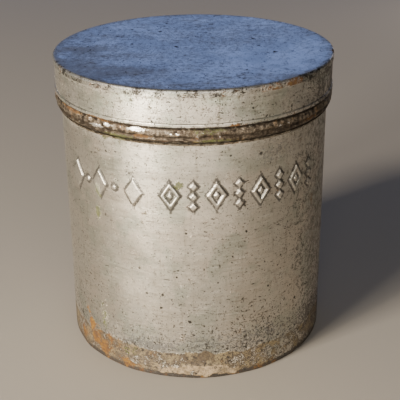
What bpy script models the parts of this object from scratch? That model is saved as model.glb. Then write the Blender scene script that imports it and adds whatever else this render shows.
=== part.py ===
"""A lidded creamery can of tinned sheet steel. Metres, +Z up, standing on the floor at the origin.

The embossed band faces -Y and the lapped side seam is at the back, +Y. The can and its slip-over lid
are separate sheet-metal assemblies; the lid rests on the hoop round the neck and lifts off along +Z.
"""

import math

import bmesh
import bpy
from mathutils import Vector

# Driving dimensions.
HEIGHT = 0.2753            # floor to the lid's flat top
BODY_RADIUS = 0.1219       # outside of the wall
LID_RADIUS = 0.1270        # outside of the lid's turned-down rim
WALL = 0.0008              # sheet of the can
LID_SHEET = 0.0006         # sheet of the lid
GAP = 0.0003               # left between pieces that touch
STEPS = 64                 # facets round every turned piece

# The hoop round the neck.
HOOP_MIDDLE = 0.2364       # height of its middle
HOOP_HALF_HEIGHT = 0.0070
HOOP_RADIUS = 0.1274       # its outer crown
HOOP_POWER = 3.0           # exponent of its half-oval section

# The curled mouth.
WIRE_RADIUS = 0.0012
CURL_RADIUS = 0.0019       # middle of the sheet, about the wire
MOUTH_MIDDLE = 0.2690      # height of the wire's centre
CURL_CENTRE = 0.1224       # the wire's own distance from the axis
CURL_TURN = 290.0          # degrees of curl
CURL_STEPS = 10
NECK_TOP_DROP = 0.0010     # below the wire's centre, where the curl runs into the neck
NECK_FOOT_DROP = 0.0050    # below the wire's centre, where the neck meets the wall's full width

# The foot and the raised bottom.
BOTTOM_TOP = 0.0260        # height of the bottom's upper face
BOTTOM_RIM = 0.0130        # height of the lower edge of its rim
BOTTOM_CORNER = 0.0022
FOOT_LIP = 0.0040          # width of the flat edge that the can stands on
HOOP_BAR = 0.0030          # thickness of the foot's hoop
FOOT_HOOP_TOP = 0.0125

# The lid.
LID_RIM_DEPTH = 0.0060     # how far the cover's rim comes down
LID_CORNER = 0.0020
SKIRT_RADIUS = 0.1261      # outside of the skirt's band
SKIRT_BOTTOM = 0.2431
HEM_DEPTH = 0.0038
HEM_BULGE = 0.0008         # how far the hem stands out from the band
HEM_ROUND = 0.0005         # corner taken off the hem's edges

# The solder in the corners: the legs of each fillet, away from and along the wall.
UPPER_FILLET = (0.0018, 0.0020)
LOWER_FILLET = (0.0022, 0.0026)
BOTTOM_FILLET = (0.0022, 0.0022)
LID_FILLET = (0.0018, 0.0020)

# The lapped seams at the back.
LAP_WIDTH = 0.0120
SIDE_LAP = (0.0020, HOOP_MIDDLE - HOOP_HALF_HEIGHT - 0.0040)            # heights of its two ends
SKIRT_LAP = (SKIRT_BOTTOM + HEM_DEPTH - 0.0004, HEIGHT - LID_RIM_DEPTH - 0.0008)
BEAD_WIDTH = 0.0016
BEAD_RISE = 0.75           # its height, against the thickness of the lapped sheet
BEAD_END = 0.0010          # left bare at its lower end
SHEET_BITE = 0.4           # how deep a raised plate starts inside the sheet, against its thickness

# The embossed band at the front.
BAND_MIDDLE = 0.1812
MOTIF_HEIGHT = 0.0254
MOTIF_WIDTH = 0.0172
MOTIF_RISE = 0.0015
FRAME_SCALE = 0.58         # the hole of a lozenge frame, against its outline
CORE_SCALE = 0.29          # the solid lozenge inside it
SMALL_LOZENGE = (0.0074, 0.0084)
SMALL_PITCH = 0.0092
PELLET_RADIUS = 0.0024
LEFT_MOTIFS = (-57.5, -42.5, -25.5)                 # degrees round from the front, towards +X
LEFT_PELLETS = (-50.0, -34.5)
RIGHT_MOTIFS = tuple(-10.0 + 9.3 * i for i in range(8))

TINNED = ((0.62, 0.59, 0.54), 0.38, 0.9)
BRIGHT_WIRE = ((0.56, 0.55, 0.53), 0.35, 0.9)
RUSTY_BAR = ((0.30, 0.23, 0.18), 0.65, 0.6)
SOLDER = ((0.45, 0.44, 0.42), 0.5, 0.8)
DARK_IRON = ((0.22, 0.18, 0.15), 0.7, 0.6)


def clear_scene():
    for obj in list(bpy.data.objects):
        bpy.data.objects.remove(obj, do_unlink=True)


def new_collection(name):
    collection = bpy.data.collections.new(name)
    bpy.context.scene.collection.children.link(collection)
    return collection


def give_material(obj, finish):
    colour, roughness, metallic = finish
    material = bpy.data.materials.new(obj.name)
    material.use_nodes = True
    shader = material.node_tree.nodes["Principled BSDF"]
    shader.inputs["Base Color"].default_value = (*colour, 1.0)
    shader.inputs["Roughness"].default_value = roughness
    shader.inputs["Metallic"].default_value = metallic
    obj.data.materials.append(material)


def arc(centre_r, centre_z, radius, start, end, count):
    """Points (r, z) on an arc, from the angle start to the angle end, in degrees from +r."""
    points = []
    for i in range(count + 1):
        angle = math.radians(start + (end - start) * i / count)
        points.append((centre_r + radius * math.cos(angle), centre_z + radius * math.sin(angle)))
    return points


def profile_object(name, points, closed, collection):
    """A profile in the XZ plane, ready for a Screw about Z."""
    mesh = bpy.data.meshes.new(name)
    bm = bmesh.new()
    corners = [bm.verts.new((r, 0.0, z)) for r, z in points]
    for first, second in zip(corners, corners[1:]):
        bm.edges.new((first, second))
    if closed:
        bm.edges.new((corners[-1], corners[0]))
    bm.to_mesh(mesh)
    bm.free()
    obj = bpy.data.objects.new(name, mesh)
    collection.objects.link(obj)
    return obj


def add_screw(obj):
    screw = obj.modifiers.new("Turn", "SCREW")
    screw.axis = "Z"
    screw.angle = math.tau
    screw.steps = STEPS
    screw.render_steps = STEPS
    screw.use_merge_vertices = True
    screw.merge_threshold = 0.0001
    screw.use_smooth_shade = True


def turned_solid(name, points, finish, collection):
    """A closed section, listed down its outer side and back up its inner side, turned about Z."""
    obj = profile_object(name, points, True, collection)
    add_screw(obj)
    give_material(obj, finish)
    return obj


def turned_sheet(name, points, thickness, finish, collection):
    """An open section through the middle of the sheet, turned about Z and given its thickness."""
    obj = profile_object(name, points, False, collection)
    add_screw(obj)
    solid = obj.modifiers.new("Sheet", "SOLIDIFY")
    solid.thickness = thickness
    solid.offset = 0.0
    solid.use_even_offset = True
    give_material(obj, finish)
    return obj


def bend_round(point, radius, azimuth):
    """Wraps a flat point (along, up, out) round the can's axis, at an azimuth from the front."""
    along, up, out = point
    angle = math.radians(azimuth) + along / radius
    reach = radius + out
    return Vector((reach * math.sin(angle), -reach * math.cos(angle), up))


def flat_plate(name, outlines, low, high, radius, azimuth, collection):
    """A plate cut to closed outlines (along, up), from low to high off the wall, bent round the can."""
    curve = bpy.data.curves.new(name, "CURVE")
    curve.dimensions = "2D"
    curve.fill_mode = "BOTH"
    curve.extrude = (high - low) / 2
    for outline in outlines:
        spline = curve.splines.new("POLY")
        spline.points.add(len(outline) - 1)
        for point, (along, up) in zip(spline.points, outline):
            point.co = (along, up, 0.0, 1.0)
        spline.use_cyclic_u = True
    flat = bpy.data.objects.new(name, curve)
    collection.objects.link(flat)
    graph = bpy.context.evaluated_depsgraph_get()
    mesh = bpy.data.meshes.new_from_object(flat.evaluated_get(graph))
    bpy.data.objects.remove(flat)
    bm = bmesh.new()
    bm.from_mesh(mesh)
    bmesh.ops.remove_doubles(bm, verts=bm.verts, dist=1e-6)
    for vert in bm.verts:
        along, up, out = vert.co
        vert.co = bend_round((along, up, out + (low + high) / 2), radius, azimuth)
    bmesh.ops.recalc_face_normals(bm, faces=bm.faces)
    bm.to_mesh(mesh)
    bm.free()
    obj = bpy.data.objects.new(name, mesh)
    collection.objects.link(obj)
    return obj


def rectangle(middle_along, middle_up, width, height, most_step=0.006):
    """A rectangle's outline, with points along its long edges so that it bends well."""
    cuts = max(1, math.ceil(width / most_step))
    low, high = middle_up - height / 2, middle_up + height / 2
    across = [middle_along - width / 2 + width * i / cuts for i in range(cuts + 1)]
    return [(a, low) for a in across] + [(a, high) for a in reversed(across)]


def lozenge(width, height, middle_up=BAND_MIDDLE):
    return [(width / 2, middle_up), (0.0, middle_up + height / 2),
            (-width / 2, middle_up), (0.0, middle_up - height / 2)]


def solid_lozenge():
    return [[lozenge(MOTIF_WIDTH, MOTIF_HEIGHT)]]


def framed_lozenge():
    """A lozenge frame round a small solid lozenge."""
    outer, hole, core = [lozenge(MOTIF_WIDTH * k, MOTIF_HEIGHT * k) for k in (1.0, FRAME_SCALE, CORE_SCALE)]
    return [[outer, hole], [core]]


def stacked_lozenges():
    """Three small solid lozenges, one above another."""
    return [[lozenge(*SMALL_LOZENGE, BAND_MIDDLE + SMALL_PITCH * i)] for i in (-1, 0, 1)]


def pellet(sides=8):
    turns = [math.tau * i / sides for i in range(sides)]
    return [[[(PELLET_RADIUS * math.cos(t), BAND_MIDDLE + PELLET_RADIUS * math.sin(t)) for t in turns]]]


def band_plates(collection):
    """Every raised motif of the band, as plates that start inside the wall's thickness."""
    motifs = [(azimuth, solid_lozenge()) for azimuth in LEFT_MOTIFS]
    motifs += [(azimuth, pellet()) for azimuth in LEFT_PELLETS]
    for i, azimuth in enumerate(RIGHT_MOTIFS):
        motifs.append((azimuth, stacked_lozenges() if i % 2 else framed_lozenge()))
    plates = []
    for azimuth, shapes in motifs:
        for outlines in shapes:
            low = -SHEET_BITE * WALL
            plate = flat_plate("motif", outlines, low, MOTIF_RISE, BODY_RADIUS, azimuth, collection)
            plates.append(plate)
    return plates


def lap_strip(radius, sheet, ends, collection):
    """The second thickness of sheet where a rolled wall laps over itself at the back."""
    outline = rectangle(0.0, sum(ends) / 2, LAP_WIDTH, ends[1] - ends[0])
    return flat_plate("lap", [outline], -SHEET_BITE * sheet, sheet, radius, 180.0, collection)


def unite(obj, pieces, name, cutters, solver="EXACT"):
    """Joins the pieces into one helper mesh and unites that with the object."""
    mesh = bpy.data.meshes.new(name)
    bm = bmesh.new()
    for piece in pieces:
        bm.from_mesh(piece.data)
        bpy.data.objects.remove(piece)
    bm.to_mesh(mesh)
    bm.free()
    helper = bpy.data.objects.new(name, mesh)
    helper.hide_render = True
    helper.display_type = "WIRE"
    cutters.objects.link(helper)
    union = obj.modifiers.new(name, "BOOLEAN")
    union.operation = "UNION"
    union.solver = solver
    union.object = helper


def wall_profile():
    """Down the middle of the wall's sheet: the curl, the neck, the wall and the foot's turned-in lip."""
    wall_r = BODY_RADIUS - WALL / 2
    neck_r = CURL_CENTRE - CURL_RADIUS
    curl = arc(CURL_CENTRE, MOUTH_MIDDLE, CURL_RADIUS, 180.0 - CURL_TURN, 180.0, CURL_STEPS)
    neck = [(neck_r, MOUTH_MIDDLE - NECK_TOP_DROP), (wall_r, MOUTH_MIDDLE - NECK_FOOT_DROP)]
    foot = [(wall_r, WALL / 2), (BODY_RADIUS - FOOT_LIP, WALL / 2)]
    return curl + neck + foot


def make_wall(parts, cutters):
    wall = turned_sheet("body_shell", wall_profile(), WALL, TINNED, parts)
    plates = band_plates(cutters) + [lap_strip(BODY_RADIUS, WALL, SIDE_LAP, cutters)]
    unite(wall, plates, "wall_relief", cutters)
    seam_bead("side_seam_solder", BODY_RADIUS, WALL, SIDE_LAP, parts)


def make_mouth_wire(parts):
    section = arc(CURL_CENTRE, MOUTH_MIDDLE, WIRE_RADIUS, 90.0, -270.0, 8)[:-1]
    turned_solid("mouth_wire", section, BRIGHT_WIRE, parts)


def hoop_section():
    """A half-oval against the wall: |x/a|^n + |z/b|^n = 1."""
    inner = BODY_RADIUS + GAP
    reach = HOOP_RADIUS - inner
    points = []
    count = 10
    for i in range(count + 1):
        angle = math.pi / 2 - math.pi * i / count
        out = reach * abs(math.cos(angle)) ** (2 / HOOP_POWER)
        up = HOOP_HALF_HEIGHT * abs(math.sin(angle)) ** (2 / HOOP_POWER)
        points.append((inner + out, HOOP_MIDDLE + math.copysign(up, math.sin(angle))))
    return points


def make_fillet(name, corner_r, corner_z, out, up, parts):
    """Solder in a corner, three-sided: out and up are its signed legs."""
    corner, tip_out, tip_up = (corner_r, corner_z), (corner_r + out, corner_z), (corner_r, corner_z + up)
    section = [corner, tip_out, tip_up] if out * up < 0 else [tip_up, tip_out, corner]
    turned_solid(name, section, SOLDER, parts)


def make_hoop(parts):
    turned_solid("stop_ring", hoop_section(), RUSTY_BAR, parts)
    against_wall = BODY_RADIUS + GAP
    reach = HOOP_HALF_HEIGHT + GAP
    out, up = UPPER_FILLET
    make_fillet("ring_solder_upper", against_wall, HOOP_MIDDLE + reach, out, up, parts)
    out, down = LOWER_FILLET
    make_fillet("ring_solder_lower", against_wall, HOOP_MIDDLE - reach, out, -down, parts)


def make_bottom(parts):
    middle_r = BODY_RADIUS - WALL - GAP - WALL / 2
    middle_z = BOTTOM_TOP - WALL / 2
    corner = BOTTOM_CORNER
    bend = arc(middle_r - corner, middle_z - corner, corner, 90.0, 0.0, 4)
    points = [(0.0, middle_z)] + bend + [(middle_r, BOTTOM_RIM)]
    turned_sheet("bottom_pan", points, WALL, TINNED, parts)
    out, up = BOTTOM_FILLET
    make_fillet("bottom_solder", BODY_RADIUS - WALL - GAP, BOTTOM_TOP + GAP, -out, up, parts)


def make_foot_hoop(parts):
    outer = BODY_RADIUS - WALL - GAP
    inner = outer - HOOP_BAR
    low, high = WALL + GAP, FOOT_HOOP_TOP
    section = [(outer, high), (outer, low), (inner, low), (inner, high)]
    turned_solid("foot_hoop", section, DARK_IRON, parts)


def seam_bead(name, radius, sheet, ends, parts):
    """A bead of solder along the free edge of a lap."""
    low, high = ends[0] + BEAD_END, ends[1]
    along = LAP_WIDTH / 2 + GAP + BEAD_WIDTH / 2
    outline = rectangle(along, (low + high) / 2, BEAD_WIDTH, high - low)
    bead = flat_plate(name, [outline], GAP, GAP + BEAD_RISE * sheet, radius, 180.0, parts)
    give_material(bead, SOLDER)


def make_lid_cover(parts):
    rim_r = LID_RADIUS - LID_SHEET / 2
    top_z = HEIGHT - LID_SHEET / 2
    corner = LID_CORNER - LID_SHEET / 2
    bend = arc(rim_r - corner, top_z - corner, corner, 90.0, 0.0, 4)
    points = [(0.0, top_z)] + bend + [(rim_r, HEIGHT - LID_RIM_DEPTH)]
    turned_sheet("lid_cover", points, LID_SHEET, TINNED, parts)


def skirt_profile():
    """Down the outside of the skirt, round its outward hem, and back up the inside."""
    inner = SKIRT_RADIUS - LID_SHEET
    hem_r = SKIRT_RADIUS + HEM_BULGE
    top = HEIGHT - LID_CORNER
    return [(SKIRT_RADIUS, top), (SKIRT_RADIUS, SKIRT_BOTTOM + HEM_DEPTH),
            (hem_r, SKIRT_BOTTOM + HEM_DEPTH - HEM_ROUND), (hem_r, SKIRT_BOTTOM + HEM_ROUND),
            (hem_r - HEM_ROUND, SKIRT_BOTTOM), (inner + HEM_ROUND, SKIRT_BOTTOM),
            (inner, SKIRT_BOTTOM + HEM_ROUND), (inner, top)]


def make_lid_skirt(parts, cutters):
    skirt = turned_solid("lid_skirt", skirt_profile(), TINNED, parts)
    lap = lap_strip(SKIRT_RADIUS, LID_SHEET, SKIRT_LAP, cutters)
    unite(skirt, [lap], "skirt_lap", cutters, "MANIFOLD")
    seam_bead("lid_seam_solder", SKIRT_RADIUS, LID_SHEET, SKIRT_LAP, parts)
    out, down = LID_FILLET
    inside = SKIRT_RADIUS - LID_SHEET - GAP
    make_fillet("lid_solder", inside, HEIGHT - LID_SHEET - GAP, -out, -down, parts)


def main():
    clear_scene()
    parts = new_collection("creamery_can")
    cutters = new_collection("creamery_can_cutters")
    make_wall(parts, cutters)
    make_mouth_wire(parts)
    make_hoop(parts)
    make_bottom(parts)
    make_foot_hoop(parts)
    make_lid_cover(parts)
    make_lid_skirt(parts, cutters)


main()
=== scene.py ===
"""Looks of an old lidded creamery can: dented tinned sheet, a rough hoop, old solder and rust.

Every piece is a turned surface with its own dents, wear and node material. Sizes come from the CAD parts in
model.glb.
Azimuths are degrees round from the front (-Y), towards +X; heights are metres above the floor.
"""
import math
from itertools import product
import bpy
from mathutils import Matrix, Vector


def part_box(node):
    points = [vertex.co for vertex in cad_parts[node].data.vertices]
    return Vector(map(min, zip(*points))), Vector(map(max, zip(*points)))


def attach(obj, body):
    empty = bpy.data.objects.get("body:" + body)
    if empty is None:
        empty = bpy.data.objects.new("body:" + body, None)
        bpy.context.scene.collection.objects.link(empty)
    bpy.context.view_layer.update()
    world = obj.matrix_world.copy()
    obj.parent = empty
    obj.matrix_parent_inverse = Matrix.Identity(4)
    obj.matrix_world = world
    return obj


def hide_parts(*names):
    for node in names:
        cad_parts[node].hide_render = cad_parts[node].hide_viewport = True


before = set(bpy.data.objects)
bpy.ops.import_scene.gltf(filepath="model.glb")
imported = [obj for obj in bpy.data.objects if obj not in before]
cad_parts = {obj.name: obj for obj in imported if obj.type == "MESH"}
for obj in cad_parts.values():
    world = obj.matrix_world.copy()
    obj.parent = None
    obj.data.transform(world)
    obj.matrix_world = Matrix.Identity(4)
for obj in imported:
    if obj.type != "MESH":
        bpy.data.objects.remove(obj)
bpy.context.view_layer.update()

from types import SimpleNamespace

import bmesh
import bpy
import numpy as np
from mathutils import Matrix, Vector


def node_span(node):
    """(outer radius, lowest z, highest z) of a CAD node."""
    low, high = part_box(node)
    return (high[0] - low[0]) / 2, low[2], high[2]


GAP = 0.0003
WALL = 0.0008
LID_SHEET = 0.0006
FOOT_BAND_R, FOOT_BAND_LOW, FOOT_BAND_HIGH = node_span("foot_hoop")
WALL_R = FOOT_BAND_R + GAP + WALL
HOOP_R, HOOP_LOW, HOOP_HIGH = node_span("stop_ring")
COVER_R, COVER_LOW, COVER_HIGH = node_span("lid_cover")
SKIRT_R, SKIRT_LOW, SKIRT_HIGH = node_span("lid_skirt")
WIRE_R, WIRE_LOW, WIRE_HIGH = node_span("mouth_wire")
BOTTOM_R, BOTTOM_LOW, BOTTOM_HIGH = node_span("bottom_pan")
SEAM_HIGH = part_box("side_seam_solder")[1][2]
LID_SEAM_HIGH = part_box("lid_seam_solder")[1][2]
BAND_MIDDLE = 0.1812
BAND_HALF = 0.0127
LAP_HALF_WIDTH = 0.006
CURL_RADIUS = 0.0019          # at the middle of the sheet, about the mouth's wire
FOOT_LIP = 0.004              # from the wall's face in to the end of the turned-in foot
BOTTOM_CORNER = 0.0022        # bend of the raised bottom, at the middle of the sheet
LID_CORNER = 0.002            # outer bend of the lid's disc
FOOT_BAR = 0.003              # thickness of the foot's band
SOLDER_LUMPS = 0.00022
HEM_DEPTH = 0.0038
HEM_BULGE = 0.0008


# ---- Noise and shape helpers ----

def cell_values(cells, seed):
    """One fixed value from -1 to 1 for each whole-number cell."""
    cells = cells.astype(np.uint64)
    mixed = cells[..., 0] * np.uint64(374761393) + cells[..., 1] * np.uint64(668265263)
    mixed = mixed + cells[..., 2] * np.uint64(2147483629) + np.uint64(seed * 97531)
    mixed = (mixed ^ (mixed >> np.uint64(15))) * np.uint64(2246822519)
    mixed = (mixed ^ (mixed >> np.uint64(13))) * np.uint64(3266489917)
    mixed = (mixed ^ (mixed >> np.uint64(16))) & np.uint64(0xFFFFFF)
    return mixed.astype(float) / 0x7FFFFF - 1


def noise(points, size, seed, octaves=1):
    """Smooth noise from about -1 to 1, with features of the given size in metres."""
    total = np.zeros(points.shape[:-1])
    weight = 0
    for octave in range(octaves):
        scaled = points * (2 ** octave / size) + 1000
        cell = np.floor(scaled).astype(np.int64)
        inside = scaled - cell
        blend = inside ** 3 * (inside * (inside * 6 - 15) + 10)
        for corner in product((0, 1), repeat=3):
            share = np.prod(np.where(corner, blend, 1 - blend), axis=-1)
            total += 0.5 ** octave * share * cell_values(cell + np.array(corner), seed + octave)
        weight += 0.5 ** octave
    return total / weight


def flat_noise(points, size, seed, octaves):
    """Noise that is the same at every height."""
    return noise(points * [1, 1, 0], size, seed, octaves)


def ramp(value, low, high):
    """0 at low, 1 at high, smooth between; high may be below low."""
    t = np.clip((value - low) / (high - low), 0, 1)
    return t * t * (3 - 2 * t)


def largest(*values):
    return np.maximum.reduce(values)


def between(value, rise, fall):
    """1 after a soft rise (from, to) and before a soft fall (to, from), 0 outside them."""
    return ramp(value, *rise) * ramp(value, *fall)


def place(azimuth, r, z):
    """World points of azimuths in radians, radii and heights."""
    return np.stack([r * np.sin(azimuth), -r * np.cos(azimuth), z], axis=-1)


def spot(azimuth, z, degrees, height, wide, tall):
    """1 in the middle of a soft patch and 0 past its half width in degrees and half height."""
    turn = (np.degrees(azimuth) - degrees + 180) % 360 - 180
    return ramp(np.hypot(turn / wide, (z - height) / tall), 1, 0.2)


def patches(azimuth, z, rows):
    """The largest of some soft patches, each a spot's numbers and an amount."""
    return largest(*[row[4] * spot(azimuth, z, *row[:4]) for row in rows])


def columns(*runs):
    """Azimuths in radians, from runs of (first degree, last degree, step); a full turn together."""
    parts = [np.arange(first, last - 1e-6, step) for first, last, step in runs]
    return np.radians(np.concatenate(parts))


def arc(centre_r, centre_z, radius, start, end, count):
    """Points round an arc of a section, with both ends; angles in degrees."""
    angles = np.radians(np.linspace(start, end, count + 1))
    return [(centre_r + radius * math.cos(a), centre_z + radius * math.sin(a)) for a in angles]


def line(start, end, step):
    """Points from start to end, without the end, no further apart than step."""
    length = math.dist(start, end)
    count = max(1, math.ceil(length / step))
    return [tuple(np.array(start) + (np.array(end) - start) * i / count) for i in range(count)]


def offset_line(points, distance):
    """A section moved sideways, towards the right of its direction for a positive distance."""
    points = np.array(points)
    ahead = np.gradient(points, axis=0)
    ahead /= np.linalg.norm(ahead, axis=1)[:, None]
    return points + distance * np.stack([ahead[:, 1], -ahead[:, 0]], axis=1)


def dished_section(span, sheet, corner, disc_step, bends, first_row, rim_step):
    """A disc with its rim turned down, out along one face and back along the other. span is its
    (radius, lowest z, highest z); corner is the bend at the middle of the sheet."""
    radius, low, high = span
    middle_r, middle_z = radius - sheet / 2, high - sheet / 2
    bend_r, bend_z = middle_r - corner, middle_z - corner
    centre = line((0, middle_z), (bend_r, middle_z), disc_step)
    centre += arc(bend_r, bend_z, corner, 90, 0, bends)
    centre += line((middle_r, bend_z - first_row), (middle_r, low), rim_step) + [(middle_r, low)]
    section = np.concatenate([offset_line(centre, -sheet / 2), offset_line(centre, sheet / 2)[::-1]])
    section[0, 0] = section[-1, 0] = 0
    return section


def tube_faces(count, sides):
    """Quads between count + 1 rings of points, and a cap at each end."""
    faces = []
    for i, j in product(range(count), range(sides)):
        here, ahead = i * sides, (i + 1) * sides
        beside = (j + 1) % sides
        faces.append([here + j, here + beside, ahead + beside, ahead + j])
    return faces + [list(range(sides)), list(range(count * sides, (count + 1) * sides))]


def new_object(name, data):
    made = bpy.data.objects.new(name, data)
    bpy.context.scene.collection.objects.link(made)
    return made


def finish_piece(name, mesh, sharp_degrees, stands, material):
    """A mesh as an object, normals outward and smooth but for its sharp edges, in its node's place."""
    bm = bmesh.new()
    bm.from_mesh(mesh)
    bmesh.ops.remove_doubles(bm, verts=bm.verts, dist=1e-7)
    bmesh.ops.recalc_face_normals(bm, faces=bm.faces)
    bm.to_mesh(mesh)
    bm.free()
    mesh.shade_smooth()
    mesh.set_sharp_from_angle(angle=math.radians(sharp_degrees))
    mesh.materials.append(material)
    piece = new_object(name, mesh)
    body, node, slot = stands
    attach(piece, body)
    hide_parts(node)


def turn_piece(name, section, azimuths, shape, stands, material, closed=True):
    """A surface turned about Z from a section of (r, z). shape(azimuth, r, z) moves its points and
    returns (r, z, fields), where fields are the masks of wear, dirt and painted shade that its
    material reads. stands is the (body, CAD node, slot) that it stands for; its slot is not used."""
    section = np.array(section, dtype=float)
    count = len(azimuths)
    turn, r = np.meshgrid(azimuths, section[:, 0])
    z = np.meshgrid(azimuths, section[:, 1])[1]
    r, z, fields = shape(turn, r, z)
    points = place(turn, r, z).reshape(-1, 3)
    rows = len(section)
    lower = np.arange(rows if closed else rows - 1)[:, None]
    upper = (lower + 1) % rows
    left = np.arange(count)
    right = (left + 1) % count
    quads = np.stack([lower * count + left, lower * count + right,
                      upper * count + right, upper * count + left], axis=-1)
    mesh = bpy.data.meshes.new(name)
    mesh.from_pydata(points.tolist(), [], quads.reshape(-1, 4).tolist())
    for key, values in fields.items():
        values = np.broadcast_to(values, turn.shape).astype(np.float32)
        mesh.attributes.new(key, "FLOAT", "POINT").data.foreach_set("value", values.ravel())
    finish_piece(name, mesh, 50, stands, material)


FINE_ROUND = columns((-180, 180, 0.25))
ALL_ROUND = columns((-180, 180, 0.5))
COARSE_ROUND = columns((-180, 180, 1))


# ---- The embossed band ----

MOTIF_RISE = 0.0017
MOTIF_HALF_WIDTH = 0.0086
FRAME_SCALE = 0.58
CORE_SCALE = 0.29
SMALL_HALF = (0.0037, 0.0042)
SMALL_PITCH = 0.0092
PELLET_RADIUS = 0.0026
PRESS_SLOPE = 0.0013          # how far a raised edge takes to rise
OUTLINE_WIDTH = 0.0021        # dirt round a raised shape, with its painted shadow
LEFT_MOTIFS = (-57.5, -42.5, -25.5)
LEFT_PELLETS = (-50, -34.5)
RIGHT_MOTIFS = [-10 + 9.3 * i for i in range(8)]


def lozenge_distance(along, up, half_width, half_height):
    """Signed distance outside a lozenge's edges, measured square to them."""
    edge = half_width * half_height / math.hypot(half_width, half_height)
    return (np.abs(along) / half_width + np.abs(up) / half_height - 1) * edge


def pressed(distance):
    """Height of a pressed shape from the signed distance outside it, with rounded shoulders."""
    return ramp(distance, PRESS_SLOPE * 0.45, -PRESS_SLOPE * 0.55)


def framed_lozenge(along, up, grow):
    outer = lozenge_distance(along, up, MOTIF_HALF_WIDTH, BAND_HALF) - grow
    hole = lozenge_distance(along, up, MOTIF_HALF_WIDTH * FRAME_SCALE, BAND_HALF * FRAME_SCALE) + grow
    core = lozenge_distance(along, up, MOTIF_HALF_WIDTH * CORE_SCALE, BAND_HALF * CORE_SCALE) - grow
    return np.maximum(pressed(outer) * (1 - pressed(hole)), pressed(core))


def solid_lozenge(along, up, grow):
    return pressed(lozenge_distance(along, up, MOTIF_HALF_WIDTH, BAND_HALF) - grow)


def stacked_lozenges(along, up, grow):
    steps = [lozenge_distance(along, up - SMALL_PITCH * i, *SMALL_HALF) for i in (-1, 0, 1)]
    return largest(*[pressed(step - grow) for step in steps])


def pellet(along, up, grow):
    return pressed(np.hypot(along, up) - PELLET_RADIUS - grow)


def band_relief(azimuth, z, grow=0):
    """Height from 0 to 1 of the pressed band, each motif struck a little deeper or shallower, and
    grown all round by a distance."""
    motifs = [(a, solid_lozenge) for a in LEFT_MOTIFS] + [(a, pellet) for a in LEFT_PELLETS]
    motifs += [(a, stacked_lozenges if i % 2 else framed_lozenge) for i, a in enumerate(RIGHT_MOTIFS)]
    relief = np.zeros_like(z)
    for index, (at, motif) in enumerate(motifs):
        along = (azimuth - math.radians(at)) * WALL_R
        tilt = 0.03 * math.sin(2.7 * index)
        up = z - BAND_MIDDLE - 0.0005 * math.sin(1.9 * index)
        near = np.abs(along) < 0.02
        struck = 0.9 + 0.1 * math.cos(1.3 * index)
        raised = np.where(near, motif(along + tilt * up, up - tilt * along, grow) * struck, 0)
        relief = np.maximum(relief, raised)
    return relief


# ---- The can ----

# Patches are (degrees, height, half width in degrees, half height, amount or depth in metres).
WALL_DENTS = (
    (-30, 0.105, 14, 0.03, 0.0007), (27, 0.075, 11, 0.022, 0.0006),
    (66, 0.13, 12, 0.04, 0.0008), (-95, 0.07, 15, 0.035, 0.0009),
    (150, 0.14, 16, 0.04, 0.0009), (-140, 0.1, 10, 0.025, 0.0008),
    (-57, 0.012, 10, 0.02, -0.0013), (-30, 0.006, 9, 0.014, -0.0007),
    (4, 0.008, 12, 0.014, -0.0009), (28, 0.01, 9, 0.016, -0.0006),
    (100, 0.008, 16, 0.018, -0.001), (-150, 0.01, 14, 0.018, -0.0009))
WALL_RUST = (
    (-57, 0.041, 4, 0.01, 0.7), (-54, 0.03, 4, 0.012, 0.95),
    (-50.5, 0.019, 5, 0.012, 1), (-46, 0.011, 6, 0.01, 1),
    (-62, 0.015, 6, 0.016, 0.8), (-32, 0.008, 12, 0.008, 0.55),
    (-44, 0.022, 22, 0.018, 0.42), (-19, 0.022, 5, 0.006, 0.45),
    (34, 0.006, 22, 0.007, 0.22), (110, 0.01, 25, 0.014, 0.75),
    (-130, 0.012, 20, 0.018, 0.8), (175, 0.014, 14, 0.02, 0.6),
    (58, 0.15, 5, 0.016, 0.35))
WALL_MOSS = (
    (-43.8, 0.1745, 2.8, 0.0095, 1.25), (-44.7, 0.152, 2.4, 0.0085, 1.15),
    (-6.5, 0.1905, 2.6, 0.0055, 1.05), (-44.5, 0.048, 4.5, 0.022, 0.5),
    (-36, 0.228, 10, 0.004, 0.7), (-30, 0.02, 6, 0.01, 0.35),
    (150, 0.04, 10, 0.03, 0.4))
WALL_SMUT_AND_SHADE = (
    (-22, 0.031, 26, 0.012, 0.74), (-20, 0.0305, 9, 0.006, 0.98),
    (2, 0.034, 16, 0.014, 0.6), (28, 0.026, 22, 0.028, 0.42),
    # The patch at 33 degrees and 0.212 m is painted shade below the hoop.
    (-45, 0.034, 9, 0.016, 0.38), (33, 0.212, 14, 0.016, 0.42))
SMUT_MIDDLE = 0.032           # height of the dark strip above the stained foot

LAP_HALF = math.degrees(LAP_HALF_WIDTH / WALL_R)
LAP_EDGE = 0.25               # degrees that the lap's edge takes to step


def lap(azimuth, half):
    """1 on the lapped strip at the back."""
    turn = np.abs((np.degrees(azimuth) + 360) % 360 - 180)
    return ramp(turn, half + LAP_EDGE / 2, half - LAP_EDGE / 2)


def wall_dents(points, azimuth, z):
    """How far the wall is pushed in or out, in metres; at the foot it has no room to go in."""
    dents = 0.0003 * noise(points, 0.09, 11, 2) + 0.0001 * noise(points, 0.022, 12, 2)
    for *place_and_size, depth in WALL_DENTS:
        dents -= depth * spot(azimuth, z, *place_and_size)
    most_inward = -0.0002 - 0.002 * ramp(z, BOTTOM_HIGH + 0.002, BOTTOM_HIGH + 0.018)
    return np.maximum(dents, most_inward)


def wall_foot(points, degrees, z, coarse):
    """The stained strip at the foot, thinner at the right."""
    wander = noise(points, 0.02, 21, 3)
    edge = 0.027 + 0.005 * wander
    cover = 0.98 - 0.36 * between(degrees, (10, 35), (95, 70))
    return ramp(z, edge + 0.0015, edge - 0.0015) * (cover + 0.3 * coarse + 0.15 * wander)


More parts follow.
